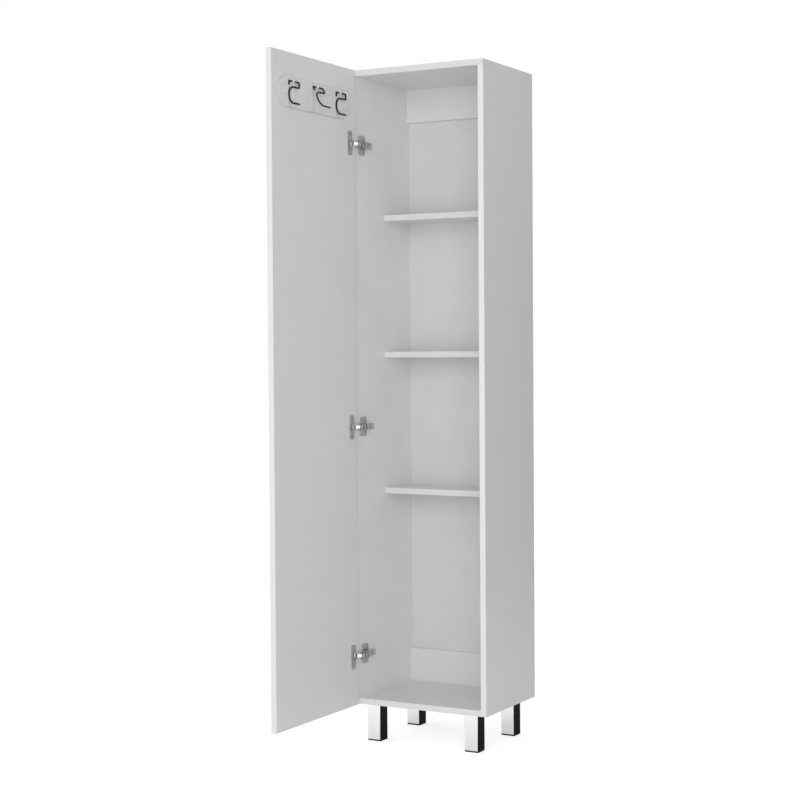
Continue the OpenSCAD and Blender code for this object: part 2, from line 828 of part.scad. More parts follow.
// Straight run of wire in the hook's plane, from p to q
module wire_run(p, q) {
    d = q - p;
    translate([p[0], 0, p[1]]) rotate([0, 90 - atan2(d[1], d[0]), 0]) cylinder(h = norm(d), r = wire_r);
}

// Quarter bend of wire about c, from angle a
module wire_bend(c, a, sweep, r) {
    translate([c[0], 0, c[1]]) rotate([90, 0, 0]) rotate([0, 0, a]) rotate_extrude(angle = sweep)
        translate([r, 0]) circle(wire_r);
}

// The hook in its plane: x runs from the short end, z up, the pivot wire on z = 0
module hook_wire() {
    b = hook_bend;
    low = -hook_loop_h - 2 * hook_r;
    wire_run([0, -hook_tail], [0, -b]);
    wire_bend([b, -b], 90, 90, b);
    wire_run([b, 0], [hook_w - b, 0]);
    wire_bend([hook_w - b, -b], 0, 90, b);
    wire_run([hook_w, -b], [hook_w, b - hook_loop_h]);
    wire_bend([hook_w - b, b - hook_loop_h], 270, 90, b);
    wire_run([hook_w - b, -hook_loop_h], [hook_r, -hook_loop_h]);
    wire_bend([hook_r, -hook_loop_h - hook_r], 90, 180, hook_r);
    wire_run([hook_r, low], [hook_w, low]);
    translate([hook_w, 0, low]) sphere(wire_r);
    translate([0, 0, -hook_tail]) sphere(wire_r);
}

module hook(k, angle) {
    color("black") on_door() translate([pad_u(k) + hook_left_u, hook_y, hook_z]) rotate([angle, 0, 0])
        mirror([1, 0, 0]) hook_wire();
}

side_left();
side_right();
top_panel();
bottom_panel();
shelf(0);  // shelf_upper
shelf(1);  // shelf_middle
shelf(2);  // shelf_lower
rail(roof_z - rail_h);  // rail_top
rail(floor_z);  // rail_bottom
back_panel();
cam_nuts();
cam_bolts();
dowels();
back_nails();
leg(0, 0);  // leg_front_left
leg(1, 0);  // leg_front_right
leg(0, 1);  // leg_back_left
leg(1, 1);  // leg_back_right
foot(0, 0);  // foot_front_left
foot(1, 0);  // foot_front_right
foot(0, 1);  // foot_back_left
foot(1, 1);  // foot_back_right
leg_bolts();
mounting_plate(0);  // plate_upper
mounting_plate(1);  // plate_middle
mounting_plate(2);  // plate_lower
arm(0);  // arm_upper
arm(1);  // arm_middle
arm(2);  // arm_lower
plate_screws();
arm_screws();
arm_pins();
inner_link(0);  // inner_link_upper
inner_link(1);  // inner_link_middle
inner_link(2);  // inner_link_lower
outer_link(0);  // outer_link_upper
outer_link(1);  // outer_link_middle
outer_link(2);  // outer_link_lower
cup(0);  // cup_upper
cup(1);  // cup_middle
cup(2);  // cup_lower
cup_pins();
cup_screws();
door_panel();
bumpers();
rack_plate();
rack_clips();
rack_screws();
hook(1, 0);  // hook_left
hook(0, hook_out);  // hook_middle
hook(-1, 0);  // hook_right
door_handle();
handle_screws();
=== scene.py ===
import logging
import math
from dataclasses import dataclass
from enum import Enum, StrEnum

import bpy
from mathutils import Matrix, Vector


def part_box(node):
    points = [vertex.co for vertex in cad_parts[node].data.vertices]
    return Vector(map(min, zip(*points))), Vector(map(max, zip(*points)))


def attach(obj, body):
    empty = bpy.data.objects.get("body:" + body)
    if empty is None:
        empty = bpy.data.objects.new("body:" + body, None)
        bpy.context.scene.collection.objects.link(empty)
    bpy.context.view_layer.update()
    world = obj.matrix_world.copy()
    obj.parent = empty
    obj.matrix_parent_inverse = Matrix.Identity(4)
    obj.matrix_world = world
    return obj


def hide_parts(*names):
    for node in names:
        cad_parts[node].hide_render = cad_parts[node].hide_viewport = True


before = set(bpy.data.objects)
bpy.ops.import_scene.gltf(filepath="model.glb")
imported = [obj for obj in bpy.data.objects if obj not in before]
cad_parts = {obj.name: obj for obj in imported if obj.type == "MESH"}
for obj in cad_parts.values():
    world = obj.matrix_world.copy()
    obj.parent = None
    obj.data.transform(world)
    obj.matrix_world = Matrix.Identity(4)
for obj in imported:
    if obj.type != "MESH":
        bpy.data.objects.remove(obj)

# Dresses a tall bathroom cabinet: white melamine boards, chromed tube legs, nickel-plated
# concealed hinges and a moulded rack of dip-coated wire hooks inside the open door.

LOG = logging.getLogger("cabinet")
MM = 0.001
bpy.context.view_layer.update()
SHARP_EDGE_DEGREES = 38

# The Mix node's sockets share their names, so they are taken by number.
MIX_FACTOR = 0
COLOUR_A, COLOUR_B, COLOUR_OUT = 6, 7, 2
FLOAT_A, FLOAT_B, FLOAT_OUT = 2, 3, 0
NOISE_MIDDLE = (0.3, 0.7)

Socket = bpy.types.NodeSocket
Tree = bpy.types.NodeTree
Point = tuple[float, float, float]
Face = tuple[int, ...]


class Axis(Enum):
    """Axis of the frame, by its number in a vector."""

    X = 0
    Y = 1
    Z = 2


class Level(StrEnum):
    """Which of the three hinges a part belongs to."""

    UPPER = "upper"
    MIDDLE = "middle"
    LOWER = "lower"


class Side(StrEnum):
    """Side of the cabinet, seen from its front."""

    LEFT = "left"
    RIGHT = "right"


def linear(code: str) -> tuple[float, float, float, float]:
    """Turn an sRGB hex value into a linear colour.

    Args:
        code: colour as "#rrggbb".

    Returns:
        Red, green, blue and alpha as Blender's shaders take them.
    """
    parts = [int(code[i : i + 2], 16) / 255 for i in (1, 3, 5)]
    r, g, b = (c / 12.92 if c <= 0.04045 else ((c + 0.055) / 1.055) ** 2.4 for c in parts)
    return (r, g, b, 1.0)


def add_node(
    tree: Tree, kind: str, settings: dict | None = None, links: dict | None = None
) -> bpy.types.Node:
    """Add one shader node.

    Args:
        tree: node tree that takes the node.
        kind: Blender's name of the node type.
        settings: values by socket name or number, or by the node's own setting.
        links: source sockets by the input's name or number.

    Returns:
        The new node.
    """
    node = tree.nodes.new(kind)
    for name, value in (settings or {}).items():
        if isinstance(name, str) and name not in node.inputs.keys():
            setattr(node, name, value)
        else:
            node.inputs[name].default_value = value
    for name, source in (links or {}).items():
        tree.links.new(source, node.inputs[name])
    return node


def calculate(tree: Tree, operation: str, *values: float | Socket) -> Socket:
    """Work out a number from other numbers.

    Args:
        tree: node tree that takes the node.
        operation: Blender's name of the operation.
        values: a number or a source socket for each input, in order.

    Returns:
        The result's socket.
    """
    numbers = {i: value for i, value in enumerate(values) if isinstance(value, float)}
    links = {i: value for i, value in enumerate(values) if i not in numbers}
    return add_node(tree, "ShaderNodeMath", {"operation": operation, **numbers}, links).outputs[0]


def largest(tree: Tree, sockets: list[Socket]) -> Socket:
    """Find the highest of several values.

    Args:
        tree: node tree that takes the nodes.
        sockets: the values' sockets.

    Returns:
        The highest value's socket.
    """
    total = sockets[0]
    for socket in sockets[1:]:
        total = calculate(tree, "MAXIMUM", total, socket)
    return total


def map_range(
    tree: Tree, value: Socket, source: tuple[float, float], target: tuple[float, float]
) -> Socket:
    """Stretch a value's range onto another one, and cut it off at its ends."""
    settings = {"From Min": source[0], "From Max": source[1], "To Min": target[0], "To Max": target[1]}
    return add_node(tree, "ShaderNodeMapRange", settings, {"Value": value}).outputs["Result"]


def lay_over(tree: Tree, mask: Socket, under: Socket, code: str) -> Socket:
    """Cover a colour with another one where a mask is 1."""
    settings = {"data_type": "RGBA", COLOUR_B: linear(code)}
    return add_node(tree, "ShaderNodeMix", settings, {MIX_FACTOR: mask, COLOUR_A: under}).outputs[COLOUR_OUT]


def two_tones(tree: Tree, factor: Socket, first: str, second: str) -> Socket:
    """Mix two fixed colours by a factor."""
    settings = {"data_type": "RGBA", COLOUR_A: linear(first), COLOUR_B: linear(second)}
    return add_node(tree, "ShaderNodeMix", settings, {MIX_FACTOR: factor}).outputs[COLOUR_OUT]


def connect(tree: Tree, shader: bpy.types.Node, sources: dict[str, Socket]) -> None:
    """Link source sockets to a shader's inputs by name."""
    for name, source in sources.items():
        tree.links.new(source, shader.inputs[name])


def empty_tree(owner: bpy.types.Material | bpy.types.World) -> Tree:
    """Switch a material's or world's nodes on and clear them.

    Args:
        owner: the material or world.

    Returns:
        Its empty node tree.
    """
    owner.use_nodes = True
    owner.node_tree.nodes.clear()
    return owner.node_tree


@dataclass(frozen=True)
class Finish:
    """What every surface finish shares: a name, a colour and how it reflects."""

    name: str
    colour: str
    roughness: float
    metallic: float = 0.0
    ior: float = 1.5
    edge_mm: float = 0.0

    def material(self) -> bpy.types.Material:
        """Build the material once and hand out the same one after that.

        Returns:
            The material.
        """
        made = bpy.data.materials.get(self.name)
        if made is not None:
            return made
        made = bpy.data.materials.new(self.name)
        tree = empty_tree(made)
        settings = {"Base Color": linear(self.colour), "Roughness": self.roughness, "Metallic": self.metallic}
        if self.metallic == 0.0:
            settings["IOR"] = self.ior
        shader = add_node(tree, "ShaderNodeBsdfPrincipled", settings)
        add_node(tree, "ShaderNodeOutputMaterial", {}, {"Surface": shader.outputs["BSDF"]})
        self.dress(tree, shader)
        made.diffuse_color = linear(self.colour)
        return made

    def dress(self, tree: Tree, shader: bpy.types.Node) -> None:
        """Give the surface its own pattern; each finish has its own."""

    def place(self, tree: Tree, stretch: Point = (1.0, 1.0, 1.0)) -> Socket:
        """Coordinates of the object, in metres, stretched along its axes.

        Args:
            tree: the material's node tree.
            stretch: factor along X, Y and Z.

        Returns:
            The vector socket.
        """
        coords = add_node(tree, "ShaderNodeTexCoord").outputs["Object"]
        settings = {"operation": "MULTIPLY", 1: stretch}
        return add_node(tree, "ShaderNodeVectorMath", settings, {0: coords}).outputs["Vector"]

    def along(self, tree: Tree, axis: Axis) -> Socket:
        """One coordinate of the object, in metres."""
        parts = add_node(tree, "ShaderNodeSeparateXYZ", {}, {"Vector": self.place(tree)})
        return parts.outputs[axis.value]

    def grain(self, tree: Tree, size_mm: float, detail: float, stretch: Point = (1.0, 1.0, 1.0)) -> Socket:
        """Noise whose patches are about size_mm across.

        Args:
            tree: the material's node tree.
            size_mm: width of one patch.
            detail: how many finer layers lie on it.
            stretch: factor along X, Y and Z, above 1 for a finer pattern.

        Returns:
            The noise's value socket.
        """
        settings = {"Scale": 1 / (size_mm * MM), "Detail": detail, "Roughness": 0.55}
        links = {"Vector": self.place(tree, stretch)}
        return add_node(tree, "ShaderNodeTexNoise", settings, links).outputs["Fac"]

    def spread(self, tree: Tree, value: Socket, low: float, high: float) -> Socket:
        """Stretch the middle of a noise's range, where most of it lies, onto low to high."""
        return map_range(tree, value, NOISE_MIDDLE, (low, high))

    def tint(self, tree: Tree, factor: Socket, other: str) -> Socket:
        """Mix the finish's colour with another one by a factor."""
        return two_tones(tree, factor, self.colour, other)

    def relief(self, tree: Tree, height: Socket, depth_mm: float, strength: float) -> Socket:
        """Bump from a height, on top of the rounded edges if the finish has them.

        Args:
            tree: the material's node tree.
            height: value socket of the height.
            depth_mm: height of the relief.
            strength: share of it that shows.

        Returns:
            The normal socket.
        """
        links = {"Height": height}
        if self.edge_mm > 0:
            links["Normal"] = self.soft_edge(tree)
        settings = {"Strength": strength, "Distance": depth_mm * MM}
        return add_node(tree, "ShaderNodeBump", settings, links).outputs["Normal"]

    def soft_edge(self, tree: Tree) -> Socket:
        """Normal that rounds the edges by edge_mm."""
        settings = {"samples": 6, "Radius": self.edge_mm * MM}
        return add_node(tree, "ShaderNodeBevel", settings).outputs["Normal"]


@dataclass(frozen=True)
class Edge:
    """A banded edge: the plane where the paper ends, and the side that the band is on, 1 or -1."""

    axis: Axis
    at: float
    side: int


@dataclass(frozen=True)
class MelamineBoard(Finish):
    """Particle board faced with white melamine paper and hot-pressed on a fine pearl plate.

    The press leaves a shallow pearl that softens reflections. The bands glued on the edges are
    a little brighter, and their glue shows as a hair-thin line beside each banded edge.
    """

    edges: tuple[Edge, ...] = ()
    band: str = "#ececec"
    glue: str = "#c3c0b8"
    clouding: str = "#e4e4e4"
    pearl_mm: float = 1.4
    cloud_mm: float = 160.0
    wipe_mm: float = 9.0
    glue_mm: float = 0.25

    def glue_lines(self, tree: Tree) -> Socket:
        """Mask the glue lines, which are drawn wider than real ones so that they show.

        Args:
            tree: the material's node tree.

        Returns:
            Value that is 1 on the lines.
        """
        half = self.glue_mm / 2 * MM
        lines = []
        for edge in self.edges:
            lines.append(calculate(tree, "COMPARE", self.along(tree, edge.axis), edge.at, half))
        return largest(tree, lines)

    def band_area(self, tree: Tree) -> Socket:
        """Mask the edge bands.

        Args:
            tree: the material's node tree.

        Returns:
            Value that is 1 beyond the planes where the paper ends.
        """
        beyond = []
        for edge in self.edges:
            operation = "GREATER_THAN" if edge.side > 0 else "LESS_THAN"
            beyond.append(calculate(tree, operation, self.along(tree, edge.axis), edge.at))
        return largest(tree, beyond)

    def dress(self, tree: Tree, shader: bpy.types.Node) -> None:
        """Pearl relief, faint clouding of the paper, bands and glue lines.

        Args:
            tree: the material's node tree.
            shader: its surface shader.
        """
        pearl = self.grain(tree, self.pearl_mm, detail=2.0)
        cloud = self.grain(tree, self.cloud_mm, detail=3.0)
        wipe = self.grain(tree, self.wipe_mm, detail=4.0)
        colour = self.tint(tree, self.spread(tree, cloud, low=0.0, high=0.35), self.clouding)
        if self.edges:
            colour = lay_over(tree, self.band_area(tree), colour, self.band)
            colour = lay_over(tree, self.glue_lines(tree), colour, self.glue)
        sources = {
            "Base Color": colour,
            "Roughness": self.spread(tree, wipe, self.roughness - 0.04, self.roughness + 0.05),
            "Normal": self.relief(tree, pearl, depth_mm=0.03, strength=0.35),
        }
        connect(tree, shader, sources)


@dataclass(frozen=True)
class RolledLacquer(Finish):
    """White lacquer rolled on fibreboard or baked on a screw head, a little duller than melamine."""

    clouding: str = "#dddddd"
    peel_mm: float = 2.2
    cloud_mm: float = 90.0

    def dress(self, tree: Tree, shader: bpy.types.Node) -> None:
        """Short strands of the roller's orange peel.

        Args:
            tree: the material's node tree.
            shader: its surface shader.
        """
        peel = self.grain(tree, self.peel_mm, detail=3.0, stretch=(1.0, 1.0, 0.5))
        cloud = self.grain(tree, self.cloud_mm, detail=2.0)
        sources = {
            "Base Color": self.tint(tree, self.spread(tree, cloud, low=0.0, high=0.5), self.clouding),
            "Normal": self.relief(tree, peel, depth_mm=0.05, strength=0.4),
        }
        connect(tree, shader, sources)


@dataclass(frozen=True)
class ChromePlating(Finish):
    """Bright nickel-chrome on welded steel tube: a near mirror with the tube's slight waviness.

    Its colour is a painted reflection: darker towards the foot, where the floor it mirrors lies in shade.
    """

    length: float = 90 * MM
    # Painted reflection: the tube's colour at its upper end, lighter than at the foot.
    top: str = "#e8e8e8"
    wave_mm: float = 22.0
    smudge_mm: float = 12.0

    def dress(self, tree: Tree, shader: bpy.types.Node) -> None:
        """Long waves down the tube, wiped smudges and a painted reflection that darkens towards the foot.

        Args:
            tree: the material's node tree.
            shader: its surface shader.
        """
        # Painted reflection: the colour runs from the darker base colour at the foot to the lighter top
        # colour.
        reflection_fade = map_range(tree, self.along(tree, Axis.Z), (0.0, self.length), (0.0, 1.0))
        wave = self.grain(tree, self.wave_mm, detail=1.0, stretch=(1.0, 1.0, 0.4))
        smudge = self.grain(tree, self.smudge_mm, detail=5.0)
        sources = {
            "Base Color": self.tint(tree, reflection_fade, self.top),
            "Roughness": self.spread(tree, smudge, self.roughness, self.roughness + 0.06),
            "Normal": self.relief(tree, wave, depth_mm=0.05, strength=0.25),
        }
        connect(tree, shader, sources)


@dataclass(frozen=True)
class PlatedSteel(Finish):
    """Pressed steel with a barrel-plated nickel or zinc layer: satin, with fine tumbling marks."""

    shade: str = "#8c8982"
    scratch_mm: float = 0.8
    stain_mm: float = 7.0

    def dress(self, tree: Tree, shader: bpy.types.Node) -> None:
        """Tumbling marks, drawn coarser than real ones so that they show, and soft stains.

        Args:
            tree: the material's node tree.
            shader: its surface shader.
        """
        mark = self.grain(tree, self.scratch_mm, detail=6.0, stretch=(1.0, 2.2, 0.7))
        stain = self.grain(tree, self.stain_mm, detail=4.0)
        sources = {
            "Base Color": self.tint(tree, self.spread(tree, stain, low=0.0, high=0.6), self.shade),
            "Roughness": self.spread(tree, mark, self.roughness - 0.06, self.roughness + 0.1),
            "Normal": self.relief(tree, mark, depth_mm=0.03, strength=0.3),
        }
        connect(tree, shader, sources)


@dataclass(frozen=True)
class ZonedSteel(PlatedSteel):
    """Plated steel with painted light on one side of a plane across X: lighter and smoother there."""

    plane: float = 0.0
    bright: str = "#f4f3f0"
    gloss: float = 0.25
    metal: float = 1.0

    def dress(self, tree: Tree, shader: bpy.types.Node) -> None:
        """Tumbling marks all over; below the plane, smoother metal in a lighter colour, which is painted
        light.

        Args:
            tree: the material's node tree.
            shader: its surface shader.
        """
        super().dress(tree, shader)
        # Painted light: below the plane the colour is lighter, and the metal can be made less metallic so it
        # reads as lit.
        painted_light_zone = calculate(tree, "LESS_THAN", self.along(tree, Axis.X), self.plane)
        colour, rough = (shader.inputs[name].links[0].from_socket for name in ("Base Color", "Roughness"))
        settings = {"data_type": "FLOAT", FLOAT_B: self.gloss}
        zone_roughness = add_node(tree, "ShaderNodeMix", settings, {MIX_FACTOR: painted_light_zone, FLOAT_A: rough})
        sources = {
            "Base Color": lay_over(tree, painted_light_zone, colour, self.bright),
            "Roughness": zone_roughness.outputs[FLOAT_OUT],
        }
        if self.metal < 1.0:
            sources["Metallic"] = calculate(tree, "MULTIPLY_ADD", painted_light_zone, self.metal - 1.0, 1.0)
        connect(tree, shader, sources)


@dataclass(frozen=True)
class BrushedSteel(Finish):
    """Stainless bar brushed along its length, which draws reflections out across it."""

    brush_mm: float = 0.6

    def dress(self, tree: Tree, shader: bpy.types.Node) -> None:
        """Brush lines along Z; real ones are finer and would not show.

        Args:
            tree: the material's node tree.
            shader: its surface shader.
        """
        brush = self.grain(tree, self.brush_mm, detail=4.0, stretch=(1.0, 1.0, 0.03))
        sources = {
            "Roughness": self.spread(tree, brush, self.roughness - 0.05, self.roughness + 0.1),
            "Normal": self.relief(tree, brush, depth_mm=0.03, strength=0.35),
        }
        connect(tree, shader, sources)


@dataclass(frozen=True)
class MouldedPlastic(Finish):
    """Injection-moulded plastic with a spark-eroded texture that breaks up its gloss."""

    shade: str = "#d8d8d6"
    painted_flank_shade: str = ""
    texture_mm: float = 0.9
    depth_mm: float = 0.03
    flow_mm: float = 30.0
    painted_flank_turn: tuple[float, float] = (0.9, 0.55)

    def painted_flank_area(self, tree: Tree) -> Socket:
        """Mask the steep flanks, which take a painted shade.

        Args:
            tree: the material's node tree.

        Returns:
            Value that rises to 1 where the surface turns away from the piece's X axis.
        """
        normal = add_node(tree, "ShaderNodeTexCoord").outputs["Normal"]
        ahead = add_node(tree, "ShaderNodeSeparateXYZ", {}, {"Vector": normal}).outputs[Axis.X.value]
        return map_range(tree, ahead, self.painted_flank_turn, (0.0, 1.0))

    def dress(self, tree: Tree, shader: bpy.types.Node) -> None:
        """Eroded texture, long flow shades and a painted shade, a greyer tone, on steep flanks.

        Args:
            tree: the material's node tree.
            shader: its surface shader.
        """
        pit = self.grain(tree, self.texture_mm, detail=3.0)
        flow = self.grain(tree, self.flow_mm, detail=2.0, stretch=(1.0, 0.5, 2.0))
        colour = self.tint(tree, self.spread(tree, flow, low=0.0, high=0.4), self.shade)
        # Painted shade: the steep flanks of the pads and rim are greyer, as shade falls there.
        if self.painted_flank_shade:
            colour = lay_over(tree, self.painted_flank_area(tree), colour, self.painted_flank_shade)
        sources = {
            "Base Color": colour,
            "Roughness": self.spread(tree, pit, self.roughness - 0.05, self.roughness + 0.05),
            "Normal": self.relief(tree, pit, self.depth_mm, strength=0.4),
        }
        connect(tree, shader, sources)


@dataclass(frozen=True)
class DippedVinyl(Finish):
    """Steel wire dipped in black plastisol: a soft gloss over slow runs in the coat."""

    run_mm: float = 5.0
    skin_mm: float = 0.9

    def dress(self, tree: Tree, shader: bpy.types.Node) -> None:
        """Runs in the coat and a fine skin.

        Args:
            tree: the material's node tree.
            shader: its surface shader.
        """
        run = self.grain(tree, self.run_mm, detail=2.0)
        skin = self.grain(tree, self.skin_mm, detail=2.0)
        sources = {
            "Roughness": self.spread(tree, skin, self.roughness - 0.06, self.roughness + 0.08),
            "Normal": self.relief(tree, run, depth_mm=0.25, strength=0.35),
        }
        connect(tree, shader, sources)


@dataclass(frozen=True)
class TurnedBeech(Finish):
    """Beech dowel, turned and left raw: fine flecks along the grain."""

    fleck: str = "#a98356"
    fleck_mm: float = 1.0

    def dress(self, tree: Tree, shader: bpy.types.Node) -> None:
        """Flecks that are five times as long as they are wide.

        Args:
            tree: the material's node tree.
            shader: its surface shader.
        """
        flecks = self.grain(tree, self.fleck_mm, detail=5.0, stretch=(0.2, 1.0, 1.0))
        sources = {
            "Base Color": self.tint(tree, self.spread(tree, flecks, low=0.0, high=0.8), self.fleck),
            "Normal": self.relief(tree, flecks, depth_mm=0.05, strength=0.4),
        }
        connect(tree, shader, sources)


# The bands on the sides and the bottom are a shade lighter than the paper. The left side's paper is lighter
# too: painted light on that wall inside the cabinet.
BOARD_WHITE = "#ececec"
BAND_BRIGHT = "#f7f7f7"
BAND_TONES = {"side_left": BAND_BRIGHT, "side_right": BAND_BRIGHT, "bottom_panel": "#f2f2f2"}
PAPER_PAINTED_LIGHT = {"side_left": "#f4f4f4"}
BAND_THICKNESS = 0.5 * MM
BOARD_ROUGHNESS = 0.36
BOARD_EDGE_MM = 0.6

PAINTED_BACK = RolledLacquer("painted_fibreboard", "#e6e6e6", roughness=0.48, edge_mm=0.3)
WHITE_LACQUER = RolledLacquer("white_lacquered_screw", "#ececec", roughness=0.4, edge_mm=0.1)
CHROME = ChromePlating("chrome_plated_tube", "#d3d3d3", roughness=0.05, metallic=1.0, edge_mm=0.4)
NICKEL = PlatedSteel(
    "nickel_plated_pressed_steel", "#cdcdcc", roughness=0.32, metallic=1.0, edge_mm=0.35, shade="#bababa"
)
BRIGHT_NICKEL = PlatedSteel(
    "bright_nickel_link", "#f2f1ee", roughness=0.16, metallic=1.0, edge_mm=0.3, shade="#e4e2de"
)
ZINC = PlatedSteel(
    "zinc_plated_screw", "#c2c3c4", roughness=0.28, metallic=1.0, edge_mm=0.1, shade="#a4a6a6"
)
DIE_CAST = PlatedSteel(
    "die_cast_zinc", "#d0d1d1", roughness=0.42, metallic=1.0, edge_mm=0.2, shade="#bcbebe"
)
SATIN_STEEL = BrushedSteel("brushed_stainless_bar", "#bdbcb9", roughness=0.3, metallic=1.0, edge_mm=0.6)
FOOT_BLACK = MouldedPlastic(
    "moulded_polyethylene_foot", "#141414", roughness=0.5, edge_mm=0.5, shade="#1d1d1d"
)
# The rack's steep flanks carry a painted shade.
RACK_WHITE = MouldedPlastic(
    "moulded_white_abs", "#e9e9e9", roughness=0.4, ior=1.53, edge_mm=0.3, shade="#e2e2e2", painted_flank_shade="#c6c6c6"
)
CLIP_WHITE = MouldedPlastic(
    "moulded_white_acetal", "#f6f6f4", roughness=0.28, ior=1.48, edge_mm=0.4, shade="#efefed"
)
BUMPER_CLEAR = MouldedPlastic(
    "soft_polyurethane_dot", "#eaeaea", roughness=0.35, edge_mm=0.4, shade="#e6e6e6"
)
HOOK_BLACK = DippedVinyl("black_dipped_wire", "#060606", roughness=0.5, ior=1.3)
BEECH = TurnedBeech("turned_beech", "#c9a877", roughness=0.6, ior=1.45)


def dress_node(node: str, finish: Finish) -> None:
    """Give a CAD node its finish, and log it.

    Args:
        node: the node's name.
        finish: its finish.
    """
    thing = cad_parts[node]
    thing.data.materials.clear()
    thing.data.materials.append(finish.material())
    LOG.info("%s: %s", node, finish.name)


def link_mesh(name: str, points: list[Point], faces: list[Face]) -> bpy.types.Object:
    """Make an object from points and faces and put it in the scene.

    Args:
        name: the object's name.
        points: vertices in metres.
        faces: vertex numbers of each face.

    Returns:
        The new object.
    """
    mesh = bpy.data.meshes.new(name)
    mesh.from_pydata(points, [], faces)
    thing = bpy.data.objects.new(name, mesh)
    bpy.context.scene.collection.objects.link(thing)
    return thing


def new_piece(
    name: str, body: str, finish: Finish, points: list[Point], faces: list[Face]
) -> bpy.types.Object:
    """Make a mesh piece that rides on a body.

    Args:
        name: the piece's name.
        body: CAD body that carries it.
        finish: its finish.
        points: vertices in metres.
        faces: vertex numbers of each face.

    Returns:
        The new object.
    """
    thing = link_mesh(name, points, faces)
    mesh = thing.data
    mesh.validate()
    mesh.update()
    mesh.materials.append(finish.material())
    mesh.shade_smooth()
    mesh.set_sharp_from_angle(angle=math.radians(SHARP_EDGE_DEGREES))
    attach(thing, body)
    LOG.info("%s: %d faces on %s", name, len(faces), body)
    return thing


@dataclass(frozen=True)
class ScrewSize:
    """Sizes of a pan-head screw, in metres."""

    radius: float
    rise: float
    shank: float
    length: float


PLATE_SCREW = ScrewSize(radius=3.5 * MM, rise=1.8 * MM, shank=1.75 * MM, length=11 * MM)
ARM_SCREW = ScrewSize(radius=3.4 * MM, rise=1.7 * MM, shank=1.7 * MM, length=9 * MM)
CUP_SCREW = ScrewSize(radius=3.5 * MM, rise=1.8 * MM, shank=1.75 * MM, length=10 * MM)
RACK_SCREW = ScrewSize(radius=3.5 * MM, rise=1.6 * MM, shank=1.75 * MM, length=10 * MM)


@dataclass
class ScrewHeads:
    """A set of equal screws with pan heads and a cross recess, all facing +X on one body.

    The recess is given in shares of the head: reach and arm of its radius, depth of its rise.
    """

    name: str
    body: str
    size: ScrewSize
    centres: list[Point]
    finish: Finish = ZINC
    crown: float = 0.28
    reach: float = 0.62
    arm: float = 0.17
    depth: float = 0.62
    taper: float = 0.75
    tip_share: float = 0.2
    tip: float = 1.5 * MM
    turns: int = 40
    rings: int = 14
    spin_first: float = 0.3
    spin_step: float = 0.7

    def height(self, r: float, angle: float) -> float:
        """Height of the head's surface above its seat.

        Args:
            r: distance from the screw's axis.
            angle: angle from an arm of the recess.

        Returns:
            Height in metres.
        """
        radius, rise = self.size.radius, self.size.rise
        dome = rise * (1 - self.crown + self.crown * math.sqrt(max(0.0, 1 - (r / radius) ** 2)))
        reach = self.reach * radius
        nearest = min(abs(r * math.sin(angle)), abs(r * math.cos(angle)))
        if r > reach or nearest >= self.arm * radius:
            return dome
        return dome - self.depth * rise * (1 - self.taper * (r / reach) ** 2)

    def outline(self) -> list[tuple[float, float]]:
        """Rings below the head: its rim, the shank and the tip.

        Returns:
            Radius and height of each ring.
        """
        shank, length = self.size.shank, self.size.length
        below = [(shank, 0.0), (shank, -length), (self.tip_share * shank, -length - self.tip)]
        return [(self.size.radius, 0.0), *below]

    def screw_points(self, centre: Point, spin: float) -> list[Point]:
        """Points of one screw.

        Args:
            centre: middle of its seat.
            spin: angle by which it is turned about its axis.

        Returns:
            The points, from the middle of the head outwards and then down.
        """
        x, y, z = centre
        points = [(x + self.height(0, 0), y, z)]
        angles = [2 * math.pi * k / self.turns for k in range(self.turns)]
        for ring in range(1, self.rings + 1):
            r = ring / self.rings * self.size.radius
            for a in angles:
                points.append((x + self.height(r, a), y + r * math.cos(a + spin), z + r * math.sin(a + spin)))
        for r, h in self.outline():
            for a in angles:
                points.append((x + h, y + r * math.cos(a + spin), z + r * math.sin(a + spin)))
        return points

    def screw_faces(self, start: int) -> list[Face]:
        """Faces of one screw.

        Args:
            start: number of its first point.

        Returns:
            The faces.
        """
        faces: list[Face] = []
        count = self.rings + len(self.outline())
        for k in range(self.turns):
            n = (k + 1) % self.turns
            faces.append((start, start + 1 + k, start + 1 + n))
            for ring in range(count - 1):
                a = start + 1 + ring * self.turns
                b = a + self.turns
                faces.append((a + k, b + k, b + n, a + n))
        last = start + 1 + (count - 1) * self.turns
        faces.append(tuple(last + k for k in range(self.turns)))
        return faces

    def build(self, slot: str, *replaced: str) -> None:
        """Build all the screws as one piece.

        Args:
            slot: the record's material slot; not used.
            replaced: CAD nodes that the screws stand for.
        """
        points: list[Point] = []
        faces: list[Face] = []
        for number, centre in enumerate(self.centres):
            faces += self.screw_faces(len(points))
            # No two screws stop at the same angle.
            points += self.screw_points(centre, self.spin_first + self.spin_step * number)
        thing = new_piece(self.name, self.body, self.finish, points, faces)
        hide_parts(*replaced)


